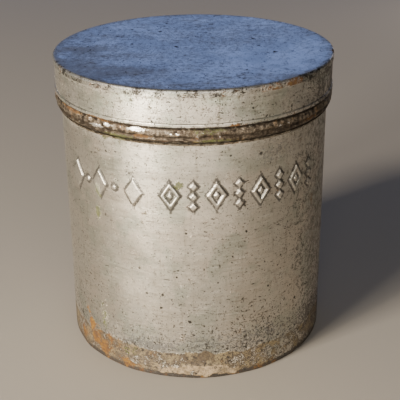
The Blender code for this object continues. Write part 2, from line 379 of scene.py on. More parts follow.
def wall_crust(points, degrees, z):
    """The pale crust along the foot at the front, ragged above and below."""
    top = 0.0105 + 0.006 * noise(points, 0.011, 23, 3)
    top = top + 0.002 * ramp(np.abs(degrees - 3), 14, 4)
    bottom = 0.0032 + 0.0034 * noise(points, 0.008, 27, 2)
    crust = ramp(z, top + 0.0006, top - 0.0006) * ramp(np.abs(degrees - 0.5), 20.5, 15)
    return crust * ramp(z, bottom - 0.0006, bottom + 0.0006)


def wall_grime_and_shade(azimuth, z, coarse):
    """Painted shade under the hoop, down the right side and high on the right; dirt and a painted contact
    shadow at the foot.
    """
    # Painted shade under the hoop.
    shade_under_hoop = 0.7 * ramp(z, HOOP_LOW - 0.01, HOOP_LOW - 0.002)
    # Dirt and a painted contact shadow at the foot.
    at_foot = 0.85 * ramp(z, 0.008, 0.001)
    # Painted shade down the right side.
    side = 0.55 * between(np.degrees(azimuth), (42, 62), (115, 85)) * (1 + 0.5 * coarse)
    # The spot at 46 degrees is painted shade below the hoop.
    return largest(shade_under_hoop, at_foot, side, 0.4 * spot(azimuth, z, 46, 0.2, 24, 0.05))


def wall_fields(points, azimuth, z):
    """Where the wall is rusty, stained, mossy, crusted, pitted and grimy, and where shade is painted."""
    degrees = np.degrees(azimuth)
    coarse = noise(points, 0.055, 22, 2)
    rust = np.maximum(patches(azimuth, z, WALL_RUST), 0.3 * ramp(z, 0.006, 0.003))
    strip = ramp(np.abs(z - SMUT_MIDDLE), 0.024, 0.004) * (0.42 + 0.4 * coarse)
    speck = 0.3 + 0.45 * ramp(z, 0.095, 0.03) + 0.2 * noise(points, 0.045, 24, 2)
    speck += 0.2 * spot(azimuth, z, 26, 0.045, 20, 0.036)
    return {"foot": wall_foot(points, degrees, z, coarse), "rust": rust,
            "moss": patches(azimuth, z, WALL_MOSS), "crust": wall_crust(points, degrees, z),
            "smut_and_shade": np.maximum(patches(azimuth, z, WALL_SMUT_AND_SHADE), strip),
            "grime_and_shade": wall_grime_and_shade(azimuth, z, coarse), "speck": speck}


def band_hollow(azimuth, z):
    """The shallow hollow that the press leaves along the band."""
    return ramp(np.abs(z - BAND_MIDDLE), 0.022, 0.012) * ramp(np.abs(np.degrees(azimuth)), 66, 60)


def wall_outline(points, azimuth, z, relief):
    """Dirt and painted shadow round raised shapes, rust and painted contact shadow at the foot, painted
    shade at right.
    """
    degrees = np.degrees(azimuth)
    # Dirt and painted shadow round the raised shapes, heavier at the right and far left.
    around = band_relief(azimuth, z, OUTLINE_WIDTH) * ramp(relief, 0.75, 0.15)
    amount = 0.86 + 0.2 * ramp(degrees, -18, 8) + 0.3 * ramp(degrees, -32, -46)
    # Rust and a painted contact shadow along the foot's lip.
    lip = (1.18 + 0.3 * noise(points, 0.012, 26, 2)) * ramp(z, 0.0056, 0.0034)
    wandering = degrees + 14 * noise(points, 0.05, 28, 3)
    # Painted shade down the right side.
    side = 0.27 * between(wandering, (36, 58), (165, 80))
    return largest(amount * around, lip, side)


def wall_lift(points, azimuth, z, relief, crust):
    """How far the pressed band, the lap and the crust stand off the wall, in metres."""
    lift = MOTIF_RISE * relief - 0.00022 * band_hollow(azimuth, z)
    lapped = WALL * lap(azimuth, LAP_HALF) * ramp(z, 0.0015, 0.0022)
    lift += lapped * ramp(z, SEAM_HIGH, SEAM_HIGH - 0.0006)
    return lift + 0.0009 * crust * (0.6 + 0.4 * noise(points, 0.0035, 25, 2))


def shape_wall(azimuth, r, z):
    points = place(azimuth, np.full_like(r, WALL_R), z)
    outside = r > WALL_R - WALL * 0.75
    relief = band_relief(azimuth, z)
    fields = wall_fields(points, azimuth, z)
    fields["inside"] = ~outside
    fields["crest"] = np.where(outside, relief, 0)
    fields["outline"] = np.where(outside, wall_outline(points, azimuth, z, relief), 0)
    lift = wall_lift(points, azimuth, z, relief, fields["crust"])
    r = r + wall_dents(points, azimuth, z) * ramp(z, HOOP_LOW, HOOP_LOW - 0.012)
    return r + np.where(outside, lift, 0), z, fields


def curl_and_neck():
    """Down the middle of the sheet: round the wire, then out to the wall's line."""
    centre_r = WIRE_R - (WIRE_HIGH - WIRE_LOW) / 2
    centre_z = (WIRE_HIGH + WIRE_LOW) / 2
    neck_r = centre_r - CURL_RADIUS
    middle = WALL_R - WALL / 2
    curl = arc(centre_r, centre_z, CURL_RADIUS, -110, 180, 18)
    bend = [(neck_r, centre_z - 0.001), (neck_r + 0.0003, centre_z - 0.002),
            (middle - 0.0003, centre_z - 0.0042), (middle, centre_z - 0.0052)]
    return curl + bend


def foot_edge():
    """Round the corner at the floor, then along the flat edge."""
    middle = WALL_R - WALL / 2
    round_off = 0.0008
    turn = arc(middle - round_off, round_off + WALL / 2, round_off, 0, -90, 4)
    return turn + [(WALL_R - FOOT_LIP, WALL / 2)]


def make_wall(material):
    """Close rows and columns run only where the band and the foot need them."""
    middle = WALL_R - WALL / 2
    top = curl_and_neck()
    foot = foot_edge()
    start = (middle, top[-1][1] - 0.004)
    fine_reach = 0.0145
    band_top, band_foot = (middle, BAND_MIDDLE + fine_reach), (middle, BAND_MIDDLE - fine_reach)
    foot_start, end = (middle, 0.034), (middle, foot[0][1])
    dense = line(start, band_top, 0.0035) + line(band_top, band_foot, 0.00062)
    dense += line(band_foot, foot_start, 0.004) + line(foot_start, end, 0.0015)
    sparse = line(start, end, 0.022)
    outer = offset_line(top + dense + foot, -WALL / 2)
    inner = offset_line(top + sparse + foot, WALL / 2)
    section = np.concatenate([outer, inner[::-1]])
    azimuths = columns((-66, 66, 0.34), (66, 176.8, 2.5), (176.8, 183.2, 0.2), (183.2, 294, 2.5))
    turn_piece("wall_sheet", section, azimuths, shape_wall, ("can", "body_shell", "tinned_wall"), material)


def shape_wire(azimuth, r, z):
    return r, z, {"rust": 0.3 + 0.3 * noise(place(azimuth, r, z), 0.01, 31, 2)}


def make_wire(material):
    radius = (WIRE_HIGH - WIRE_LOW) / 2
    section = arc(WIRE_R - radius, (WIRE_HIGH + WIRE_LOW) / 2, radius, 90, -270, 14)[:-1]
    turn_piece("mouth_edge_wire", section, COARSE_ROUND, shape_wire,
               ("can", "mouth_wire", "steel_wire"), material)


def hoop_section():
    """Half-oval bar against the wall."""
    inner = WALL_R + GAP
    reach = HOOP_R - 0.0007 - inner
    middle = (HOOP_LOW + HOOP_HIGH) / 2
    half = (HOOP_HIGH - HOOP_LOW) / 2 - 0.0003
    points = []
    for angle in np.linspace(math.pi / 2, -math.pi / 2, 38):
        out = reach * abs(math.cos(angle)) ** 0.62
        up = half * math.copysign(abs(math.sin(angle)) ** 0.75, math.sin(angle))
        points.append((inner + out, middle + up))
    return points


HOOP_BRIGHT = (
    (-40.5, 0.2362, 5.5, 0.0026, 0.95), (-34.5, 0.2395, 3.5, 0.0022, 0.8),
    (-22, 0.24, 6, 0.0026, 0.95), (-8, 0.2385, 5, 0.0014, 0.4),
    (36, 0.237, 5, 0.0018, 0.4), (140, 0.238, 14, 0.003, 0.7),
    (-120, 0.237, 12, 0.003, 0.6))
HOOP_RUST = (
    (-57, 0.242, 12, 0.004, 0.8), (-36, 0.2425, 7, 0.002, 0.75),
    (-20, 0.2345, 6, 0.003, 0.8), (52, 0.234, 9, 0.004, 0.5),
    (100, 0.236, 22, 0.006, 0.7), (-160, 0.236, 20, 0.006, 0.7))
HOOP_MOSS = (
    (5, 0.24, 10, 0.004, 0.55), (-30, 0.2315, 10, 0.0026, 0.75),
    (8, 0.2315, 13, 0.0028, 0.65), (-170, 0.232, 20, 0.003, 0.6))


def hoop_fields(points, azimuth, z, up, lumps, waist):
    """Where the hoop is bright, rusty, mossy or greasy; painted shade on its top, underside and front."""
    rough = noise(points, 0.012, 44, 3)
    worn = 0.38 * ramp(lumps, 0.0001, 0.0006) * ramp(rough, -0.2, 0.4) * ramp(up, -0.3, 0.2)
    hollows = ramp(lumps - waist, -0.0001, -0.0009)
    # Painted shade along the underside.
    lower_edge = ramp(z, HOOP_LOW + 0.0036, HOOP_LOW + 0.0006)
    # Painted shadow of the lid along the top.
    upper_edge = 1.3 * ramp(z, HOOP_HIGH - 0.003, HOOP_HIGH - 0.0012)
    # Painted shade at the front.
    front = 0.52 * spot(azimuth, z, 6, 0.236, 26, 0.011)
    return {"bright": np.maximum(worn, patches(azimuth, z, HOOP_BRIGHT)),
            "rust": np.maximum(0.4 * ramp(rough, -0.1, 0.5), patches(azimuth, z, HOOP_RUST)),
            "moss": patches(azimuth, z, HOOP_MOSS), "grime_and_shade": largest(hollows, lower_edge, upper_edge, front)}


def shape_hoop(azimuth, r, z):
    """Lumpy, with a wandering groove between its two rounds; the wall's side stays true."""
    points = place(azimuth, r, z)
    inner = WALL_R + GAP
    free = ramp(r, inner + 0.0002, inner + 0.0016)
    half = (HOOP_HIGH - HOOP_LOW) / 2
    wander = flat_noise(points, 0.018, 40, 3)
    up = (z - (HOOP_HIGH + HOOP_LOW) / 2) / half + 0.26 + 0.16 * wander
    waist = (0.0014 + 0.0005 * wander) * np.exp(-(up / 0.17) ** 2) + 0.0005 * ramp(up, 0, -0.2)
    lumps = 0.0006 * noise(points, 0.0075, 41, 3)
    lumps += 0.00052 * noise(points * [1, 1, 1.5], 0.0034, 42, 2)
    long_wave = 0.0003 * noise(points, 0.06, 43, 2)
    new_r = np.clip(r + free * (lumps + long_wave - waist), inner, HOOP_R - 0.0001)
    return new_r, z, hoop_fields(points, azimuth, z, up, lumps, waist)


def make_hoop(material):
    turn_piece("neck_hoop", hoop_section(), FINE_ROUND, shape_hoop,
               ("can", "stop_ring", "rusty_hoop"), material)


def lumpy_bead(seed):
    """A shape function for solder: lumps swell and shrink the bead about its middle."""
    def shape(azimuth, r, z):
        points = place(azimuth, r, z)
        swell = SOLDER_LUMPS * noise(points, 0.006, seed, 3)
        centre_r, centre_z = (r.min() + r.max()) / 2, (z.min() + z.max()) / 2
        away = np.hypot(r - centre_r, z - centre_z) + 1e-9
        r = r + swell * (r - centre_r) / away
        z = z + swell * (z - centre_z) / away
        rough = noise(points, 0.015, seed + 5, 3)
        return r, z, {"rust": 0.4 * ramp(rough, 0, 0.6),
                      "grime_and_shade": ramp(-swell, 0, SOLDER_LUMPS * 0.7),
                      "bright": 0.5 * ramp(swell, SOLDER_LUMPS * 0.2, SOLDER_LUMPS * 0.8),
                      "moss": 0.7 * spot(azimuth, z, -30, HOOP_LOW, 10, 0.004)}
    return shape


def fillet_section(corner_r, corner_z, out, up):
    """A corner filled with a hollow-faced fillet; out and up are its signed legs."""
    face = []
    for angle in np.linspace(0, math.pi / 2, 7):
        bow_out = out * (1 - 0.92 * math.sin(angle))
        bow_up = up * (1 - 0.92 * math.cos(angle))
        face.append((corner_r + bow_out, corner_z + bow_up))
    return [(corner_r, corner_z)] + face


def make_solder(name, stands, out, up, seed, material):
    """A fillet all round in a corner of its CAD node, with signed legs out and up."""
    radius, low, high = node_span(stands[1])
    corner_r = WALL_R + GAP if out > 0 else radius
    corner_z = low if up > 0 else high
    section = fillet_section(corner_r, corner_z, out, up)
    turn_piece(name, section, ALL_ROUND, lumpy_bead(seed), stands, material)


def shape_bottom(azimuth, r, z):
    """The disc sags a little in the middle."""
    points = place(azimuth, r, z)
    flat = ramp(r, BOTTOM_R - 0.004, BOTTOM_R - 0.02)
    sag = 0.0009 * (1 - (r / BOTTOM_R) ** 2) - 0.0004 * noise(points, 0.06, 51, 2)
    rough = noise(points, 0.03, 52, 3)
    fields = {"foot": 0.25 + 0.4 * ramp(rough, -0.3, 0.6), "rust": 0.5 * ramp(rough, 0.25, 0.7),
              "grime_and_shade": 0.5 * ramp(r, BOTTOM_R - 0.012, BOTTOM_R), "speck": 0.5 + 0.3 * rough}
    return r, z - sag * flat, fields


def make_bottom(material):
    span = (BOTTOM_R, BOTTOM_LOW, BOTTOM_HIGH)
    section = dished_section(span, WALL, BOTTOM_CORNER, 0.004, 6, 0.002, 0.004)
    turn_piece("raised_bottom", section, COARSE_ROUND, shape_bottom,
               ("can", "bottom_pan", "tinned_bottom"), material, closed=False)


def shape_foot_band(azimuth, r, z):
    """Rust has eaten into both faces of the bar."""
    pits = noise(place(azimuth, r, z), 0.006, 61, 3)
    eaten = 0.0002 * (1 + pits)
    new_r = np.where(r > FOOT_BAND_R - 0.001, r - eaten, r + eaten)
    return new_r, z, {"rust": 0.6 + 0.4 * pits, "grime_and_shade": ramp(pits, 0, -0.6)}


def make_foot_band(material):
    inner, bend = FOOT_BAND_R - FOOT_BAR, 0.0006
    left, right = inner + bend, FOOT_BAND_R - bend
    low, high = FOOT_BAND_LOW + bend, FOOT_BAND_HIGH - bend
    section = line((FOOT_BAND_R, high), (FOOT_BAND_R, low), 0.0025)
    section += arc(right, low, bend, 0, -90, 3) + arc(left, low, bend, -90, -180, 3)
    section += line((inner, low + 0.002), (inner, high), 0.0025)
    section += arc(left, high, bend, 180, 90, 3) + arc(right, high, bend, 90, 20, 3)
    turn_piece("foot_band", section, COARSE_ROUND, shape_foot_band,
               ("can", "foot_hoop", "foot_iron"), material)


def seam_bead(name, node, body, base_r, seed, material):
    """A lumpy run of solder up the edge of a lap."""
    low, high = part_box(node)
    middle_x = (low[0] + high[0]) / 2
    half_width = (high[0] - low[0]) / 2
    azimuth = math.atan2(middle_x, -base_r)
    count = max(8, round((high[2] - low[2]) / 0.0012))
    ring = np.radians(np.linspace(0, 180, 9))
    points = []
    for i in range(count + 1):
        z = low[2] + (high[2] - low[2]) * i / count
        here = np.array([[0, 0, z]])
        width = half_width * (0.85 + 0.15 * noise(here, 0.008, seed, 2)[0])
        height = (high[1] - low[1]) * (0.72 + 0.25 * noise(here, 0.006, seed + 3, 2)[0])
        end = 0.25 + 0.75 * min(1, min(i, count - i) / 2)
        for angle in ring:
            turn = azimuth + width * end * math.cos(angle) / base_r
            reach = base_r + GAP / 2 + max(0.00008, height * end * math.sin(angle) ** 0.8)
            points.append((reach * math.sin(turn), -reach * math.cos(turn), z))
    mesh = bpy.data.meshes.new(name)
    mesh.from_pydata(points, [], tube_faces(count, len(ring)))
    finish_piece(name, mesh, 60, (body, node, "seam_solder"), material)


# ---- The lid ----

# Ovals on the lid are ((x, y) of the middle, (half width, half depth)), in metres.
LID_SMUDGES = (
    ((-0.066, -0.074), (0.06, 0.034), 0.3), ((-0.1, -0.01), (0.044, 0.08), 0.25),
    ((0.09, -0.096), (0.034, 0.022), 0.15))
LIGHTER_OVAL = ((0.066, -0.034), (0.07, 0.06))


def oval(points, at, size):
    """0 in the middle of an oval on the lid, 1 at its edge."""
    return np.hypot((points[..., 0] - at[0]) / size[0], (points[..., 1] - at[1]) / size[1])


def lid_disc_tone(points, r):
    """Smudges on the disc, which is also darker to the front, the left and the edge, and lighter right of
    the middle.
    """
    smudge = np.zeros_like(r)
    for at, size, amount in LID_SMUDGES:
        smudge += amount * ramp(oval(points, at, size), 1, 0)
    smudge += 0.12 * ramp(points[..., 1], -0.055, -0.115) + 0.2 * ramp(points[..., 0], -0.02, -0.12)
    clean = ramp(oval(points, *LIGHTER_OVAL), 1, 0.2)
    broad = noise(points * [1, 2.2, 0], 0.05, 75, 3)
    edge = 0.45 * ramp(r, COVER_R - 0.008, COVER_R - 0.001)
    return (0.4 + smudge) * (1 - 0.95 * clean) * (0.85 + 0.7 * broad) + edge


def rim_rust(degrees, rim, rough):
    """Rust along the lid's rim: a little all round, and three worse places."""
    all_round = 0.42 * rim * ramp(rough, 0, 0.5)
    right = ramp(np.abs(degrees - 35), 14, 6) * rim * (0.62 + 0.5 * rough)
    front = 0.6 * ramp(np.abs(degrees - 13.5), 5, 1.5) * rim * ramp(rough, -0.5, 0.2)
    back = 0.55 * ramp(np.abs(degrees + 150), 30, 15) * rim
    return largest(all_round, right, front, back)


def cover_fields(points, azimuth, r, z, on_disc):
    """Where the lid's disc and rim are rusty, darker, specked or green; painted shade on the rim at the
    right.
    """
    degrees = np.degrees(azimuth)
    rough = noise(points, 0.014, 74, 3)
    rim = ramp(r, COVER_R - 0.0035, COVER_R - 0.0008)
    patchy = 0.55 * rim * ramp(noise(points, 0.009, 76, 2), -0.1, 0.3)
    # Painted shade on the rim down the right side.
    side = rim * (0.32 + 0.3 * rough) * between(degrees, (41, 50), (110, 80))
    low = ramp(z, COVER_LOW, COVER_LOW + 0.003)
    return {"rust": rim_rust(degrees, rim, rough), "foot": 0, "speck": 0.05 + 0.55 * rim,
            "grime_and_shade": np.where(on_disc > 0.5, lid_disc_tone(points, r), 0.3 * (1 + rough)),
            "outline": np.maximum(patchy, side),
            "flat": on_disc * ramp(r, COVER_R - 0.001, COVER_R - 0.0026),
            "verdigris": 0.5 * ramp(np.abs(degrees + 5), 6, 2) * rim * low}


def shape_cover(azimuth, r, z):
    """The disc is a little wavy, and its rim has been knocked about."""
    points = place(azimuth, r, z)
    on_disc = ramp(z, COVER_HIGH - 0.003, COVER_HIGH - 0.0012)
    waves = 0.00028 * (1 + flat_noise(points, 0.075, 71, 2))
    waves += 0.00005 * (1 + flat_noise(points, 0.018, 72, 2))
    waves *= ramp(r, COVER_R - 0.001, COVER_R - 0.02)
    dish = 0.0007 * ramp(r, COVER_R - 0.006, 0.02)
    knocks = 0.00012 * (1 + flat_noise(points, 0.02, 73, 3))
    fold = ramp(z, COVER_HIGH - 0.0012, COVER_HIGH - 0.004)
    new_z = z - (waves + dish) * on_disc - 0.00002
    return r - knocks * fold, new_z, cover_fields(points, azimuth, r, z, on_disc)


def make_cover(material):
    span = (COVER_R, COVER_LOW, COVER_HIGH)
    section = dished_section(span, LID_SHEET, LID_CORNER - LID_SHEET / 2, 0.0025, 7, 0.0008, 0.0012)
    turn_piece("lid_disc", section, ALL_ROUND, shape_cover,
               ("lid", "lid_cover", "lid_sheet"), material, closed=False)


SKIRT_DENTS = ((-62, 0.0005), (22, 0.0004), (48, 0.0006), (-100, 0.0006), (120, 0.0007), (-165, 0.0005))
SKIRT_VERDIGRIS = ((9, 0.266, 9, 0.006, 0.8), (-37, 0.259, 12, 0.01, 0.6))


def skirt_dents(points, azimuth, z):
    """How far the skirt is pushed in or out, in metres; its edges keep their line."""
    dents = 0.00022 * noise(points, 0.05, 81, 2) + 0.00009 * noise(points, 0.012, 82, 2)
    for at, depth in SKIRT_DENTS:
        dents -= depth * spot(azimuth, z, at, SKIRT_LOW + 0.013, 8, 0.01)
    return dents * between(z, (SKIRT_LOW, SKIRT_LOW + 0.006), (SKIRT_HIGH, SKIRT_HIGH - 0.006))


def skirt_lap(azimuth, z):
    """How far the lapped end of the skirt stands off it, in metres."""
    hem_top = SKIRT_LOW + HEM_DEPTH
    ends = between(z, (hem_top - 0.0002, hem_top + 0.0004), (LID_SEAM_HIGH + 0.0002, LID_SEAM_HIGH - 0.0004))
    return LID_SHEET * lap(azimuth, math.degrees(LAP_HALF_WIDTH / SKIRT_R)) * ends


def skirt_fields(points, azimuth, z, outside):
    """Where the skirt is rusty, green, grimy or specked; darker under the rim, painted shade on its lowest
    edge and right side.
    """
    degrees = np.degrees(azimuth)
    rough = noise(points, 0.016, 84, 3)
    edge = ramp(z, SKIRT_LOW + 0.0035, SKIRT_LOW + 0.0005)
    # Painted shade down the right side, which also gets more specks and dark outline there.
    side = between(degrees, (40, 56), (110, 80))
    rust = edge * largest(0.45 * ramp(rough, 0, 0.6), 0.7 * ramp(np.abs(degrees + 40), 9, 3),
                          0.6 * ramp(np.abs(degrees - 17), 6, 2))
    green = 0.5 * ramp(noise(points, 0.028, 85, 2), 0, 0.7)
    under_rim = 0.6 * ramp(z, COVER_LOW - 0.003, COVER_LOW) * outside
    # Painted shadow of the gap over the hoop, along the lowest edge.
    lowest = 1.3 * ramp(z, SKIRT_LOW + 0.001, SKIRT_LOW + 0.0005)
    return {"rust": rust, "inside": ~outside,
            "verdigris": np.maximum(green, patches(azimuth, z, SKIRT_VERDIGRIS)),
            "grime_and_shade": np.maximum(under_rim, 0.3 * edge) + (0.22 + 0.5 * side) * (1 + rough),
            "speck": 0.4 + 0.3 * ramp(rough, 0.1, 0.6) + 0.35 * side,
            "outline": np.maximum(lowest, 0.48 * side * (1 + 0.6 * rough))}


def shape_skirt(azimuth, r, z):
    """A dented band with a hem that wanders a little up and down."""
    points = place(azimuth, np.full_like(r, SKIRT_R), z)
    outside = r > SKIRT_R - HEM_BULGE - LID_SHEET * 0.5
    hem = ramp(np.abs(z - SKIRT_LOW - HEM_DEPTH), 0.0012, 0) * outside
    new_r = r + skirt_dents(points, azimuth, z) + np.where(outside, skirt_lap(azimuth, z), 0)
    new_z = z + 0.0003 * flat_noise(points, 0.016, 83, 2) * hem
    return new_r, new_z, skirt_fields(points, azimuth, z, outside)


def make_skirt(material):
    band_r = SKIRT_R - HEM_BULGE
    inner = band_r - LID_SHEET
    hem_top = SKIRT_LOW + HEM_DEPTH
    round_off, inner_round = 0.0007, 0.0005
    section = line((band_r, SKIRT_HIGH), (band_r, hem_top + 0.0006), 0.0012)
    section += [(band_r, hem_top + 0.0001), (band_r + HEM_BULGE * 0.8, hem_top - 0.0002)]
    section += line((SKIRT_R, hem_top - 0.0006), (SKIRT_R, SKIRT_LOW + round_off), 0.0008)
    section += arc(SKIRT_R - round_off, SKIRT_LOW + round_off, round_off, 0, -90, 5)
    section += arc(inner + inner_round, SKIRT_LOW + inner_round, inner_round, -90, -180, 3)
    section += line((inner, SKIRT_LOW + 0.002), (inner, SKIRT_HIGH), 0.004) + [(inner, SKIRT_HIGH)]
    turn_piece("lid_band", section, ALL_ROUND, shape_skirt, ("lid", "lid_skirt", "lid_sheet"), material)


# ---- Materials ----

class Graph:
    """A material's node tree, built by short calls; those that work out a value return its socket."""

    def __init__(self, name, roughness=0.5, metallic=0.9):
        self.material = bpy.data.materials.new(name)
        self.material.use_nodes = True
        self.tree = self.material.node_tree
        self.shader = self.tree.nodes["Principled BSDF"]
        self.feeds(self.shader, {"Roughness": roughness, "Metallic": metallic})
        self.coords = self.node("TexCoord").outputs["Object"]

    def node(self, kind, values=None, **settings):
        """A new node with its settings, and its inputs fed by name or number."""
        node = self.tree.nodes.new("ShaderNode" + kind)
        for key, value in settings.items():
            setattr(node, key, value)
        self.feeds(node, values or {})
        return node

    def feeds(self, node, values):
        for key, value in values.items():
            self.feed(node.inputs[key], value)

    def feed(self, socket, value):
        """Links a socket to an output, or sets its number or colour."""
        if isinstance(value, bpy.types.NodeSocket):
            self.tree.links.new(value, socket)
        elif socket.type == "RGBA":
            socket.default_value = (*value, 1)
        else:
            socket.default_value = value

    def noise(self, seed, scale, detail, roughness, stretch=(1, 1, 1)):
        """Noise from 0 to 1; stretch is a further scale for each axis."""
        where = self.node("VectorMath", {0: self.coords, 1: stretch}, operation="MULTIPLY").outputs[0]
        values = {"Vector": where, "W": seed, "Scale": scale, "Detail": detail, "Roughness": roughness}
        return self.node("TexNoise", values, noise_dimensions="4D").outputs["Fac"]

    def smooth(self, value, low, high):
        """0 at low, 1 at high, smooth between; high may be below low."""
        values = {"Value": value, "From Min": low, "From Max": high}
        return self.node("MapRange", values, interpolation_type="SMOOTHSTEP").outputs["Result"]

    def math(self, operation, *numbers):
        return self.node("Math", dict(enumerate(numbers)), operation=operation).outputs[0]

    def times(self, first, second):
        return self.math("MULTIPLY", first, second)

    def add(self, first, second):
        return self.math("ADD", first, second)

    def most(self, value, *others):
        for other in others:
            value = self.math("MAXIMUM", value, other)
        return value

    def blend(self, first, second, share, low=0.34, high=0.66):
        """Two noises added, the first by its share, and stretched from low and high to 0 and 1."""
        total = self.add(self.times(first, share), self.times(second, 1 - share))
        return self.smooth(total, low, high)

    def spread(self, value, low, high):
        """A number from 0 to 1 taken to the range low to high."""
        return self.math("MULTIPLY_ADD", value, high - low, low)

    def mix(self, factor, first, second):
        return self.node("Mix", {0: factor, 6: first, 7: second}, data_type="RGBA").outputs[2]

    def coats(self, base, *coats):
        """Colours laid over the base in turn, each a (mask, thickness, colour)."""
        for mask, thickness, colour in coats:
            base = self.mix(self.times(mask, thickness), base, colour)
        return base

    def field(self, name):
        return self.node("Attribute", attribute_name=name).outputs["Fac"]

    def finish(self, colour, roughness, metallic, height, bump, distance):
        values = {"Strength": bump, "Distance": distance, "Height": height}
        normal = self.node("Bump", values).outputs[0]
        self.feeds(self.shader, {"Base Color": colour, "Roughness": roughness, "Metallic": metallic,
                                 "Normal": normal})
        return self.material


# Pits are (degrees round the wall, height, radius).
WALL_PITS = (
    (-14, 0.085, 0.0013), (-3, 0.0595, 0.0017), (24, 0.069, 0.0016), (32, 0.085, 0.0014),
    (21, 0.144, 0.0013), (-4, 0.147, 0.0011), (-15, 0.072, 0.0013), (-21, 0.085, 0.0011),
    (-24, 0.024, 0.0015), (-8, 0.104, 0.0009), (38, 0.112, 0.001), (9, 0.098, 0.0009),
    (14, 0.216, 0.001), (27, 0.214, 0.0012), (-38, 0.213, 0.001), (48, 0.06, 0.0013))

RUST_DARK = (0.06, 0.026, 0.014)
RUST_BROWN = (0.07, 0.032, 0.009)
RUST_ORANGE = (0.15, 0.064, 0.004)
TAN_STAIN = (0.125, 0.088, 0.046)
FOOT_TAN = (0.066, 0.041, 0.017)
FOOT_CREAM = (0.17, 0.125, 0.062)
FOOT_BROWN = (0.04, 0.021, 0.009)
RUST_GOLD = (0.23, 0.125, 0.012)
CRUST_PALE = (0.3, 0.22, 0.132)
MOSS_DARK = (0.024, 0.027, 0.005)
MOSS_LIGHT = (0.078, 0.083, 0.01)
# Black of pits, also the painted shadow and shade of the outline layer.
PIT_AND_SHADOW_BLACK = (0.022, 0.017, 0.013)
# Brown grime, also painted shade on the wall and the lid's band.
GRIME_AND_SHADE = (0.105, 0.08, 0.056)
# Grey smut, also one patch of painted shade on the wall.
SMUT_AND_SHADE = (0.046, 0.043, 0.04)
SCRAPED = (0.66, 0.63, 0.57)
VERDIGRIS = (0.33, 0.38, 0.29)
# Dark grease, also painted shade on the hoop.
GREASE_AND_SHADE = (0.04, 0.029, 0.02)
BRIGHT_METAL = (0.72, 0.69, 0.64)

# Tin has three tints, clean, warm and cool; rough metal has a dark and a light one.
WALL_TINTS = ((0.5, 0.465, 0.4), (0.53, 0.475, 0.4), (0.4, 0.395, 0.33))
BOTTOM_TINTS = ((0.42, 0.385, 0.33), (0.45, 0.4, 0.33), (0.33, 0.31, 0.26))
LID_TINTS = ((0.48, 0.455, 0.4), (0.5, 0.455, 0.39), (0.39, 0.4, 0.335))
LID_TOP = (0.74, 0.74, 0.74)
LID_DARK_TONE = (0.2, 0.2, 0.21)
HOOP_TINTS = ((0.062, 0.045, 0.031), (0.225, 0.185, 0.14))
HOOP_SOLDER_TINTS = ((0.095, 0.072, 0.05), (0.3, 0.26, 0.2))
SEAM_SOLDER_TINTS = ((0.28, 0.27, 0.25), (0.48, 0.47, 0.44))
WIRE_TINTS = ((0.3, 0.27, 0.24), (0.5, 0.47, 0.43))
FOOT_TINTS = ((0.095, 0.06, 0.038), (0.22, 0.15, 0.1))

TIN_METAL = 0.96
WALL_BRUSH = (45, 45, 900)    # scuffs per metre along each axis
DISC_BRUSH = (60, 700, 60)


def broken(g, name, grain, softness):
    """A painted field broken up by a grain that runs from 0 to 1: its share is covered."""
    return g.smooth(g.add(g.math("SUBTRACT", g.field(name), 1), grain), -softness, softness)


def pits(g, places, wobble):
    """Dark pits with ragged edges."""
    marks = []
    for degrees, z, radius in places:
        turn = math.radians(degrees)
        centre = (WALL_R * math.sin(turn), -WALL_R * math.cos(turn), z)
        apart = g.node("VectorMath", {0: g.coords, 1: centre}, operation="DISTANCE").outputs["Value"]
        reach = g.add(apart, g.times(wobble, radius))
        marks.append(g.smooth(reach, radius * 1.55, radius * 1.35))
    return g.most(*marks)


def rust_colour(g, fine, medium, glow):
    """Rust from near black to gold; a low glow keeps it brown."""
    return g.coats(RUST_BROWN, (g.smooth(medium, 0.38, 0.56), glow, RUST_ORANGE),
                   (g.smooth(medium, 0.52, 0.64), 0.75 * glow, RUST_GOLD),
                   (g.smooth(fine, 0.5, 0.64), 1, RUST_DARK))


def moss_colour(g, fine):
    return g.mix(g.smooth(fine, 0.42, 0.6), MOSS_DARK, MOSS_LIGHT)


def foot_colour(g, n):
    """The stained foot: tan, cream, brown and near black in ragged patches."""
    return g.coats(FOOT_TAN, (g.smooth(n.patch, 0.47, 0.56), 1, FOOT_CREAM),
                   (g.smooth(n.medium, 0.52, 0.6), 1, FOOT_BROWN),
                   (g.smooth(n.fine, 0.52, 0.64), 1, PIT_AND_SHADOW_BLACK))


def crust_colour(g, n):
    return g.coats(CRUST_PALE, (g.smooth(n.medium, 0.42, 0.62), 1, TAN_STAIN),
                   (g.smooth(n.fine, 0.54, 0.66), 1, GRIME_AND_SHADE))


def sheet_noises(g, brush):
    """The noises that the layers of a sheet share."""
    n = SimpleNamespace(
        broad=g.noise(1, 22, 4, 0.6), second=g.noise(2, 36, 4, 0.6),
        patch=g.noise(8, 95, 5, 0.65), medium=g.noise(3, 230, 5, 0.65),
        blotch=g.noise(15, 380, 4, 0.6), fine=g.noise(4, 760, 4, 0.65),
        scuffs=g.noise(6, 1, 4, 0.65, brush), drips=g.noise(7, 1, 4, 0.62, (480, 480, 22)))
    n.ragged = g.blend(n.medium, n.fine, 0.55)
    n.rougher = g.blend(n.patch, n.fine, 0.6)
    n.speckled = g.blend(n.blotch, n.fine, 0.6, 0.36, 0.64)
    return n


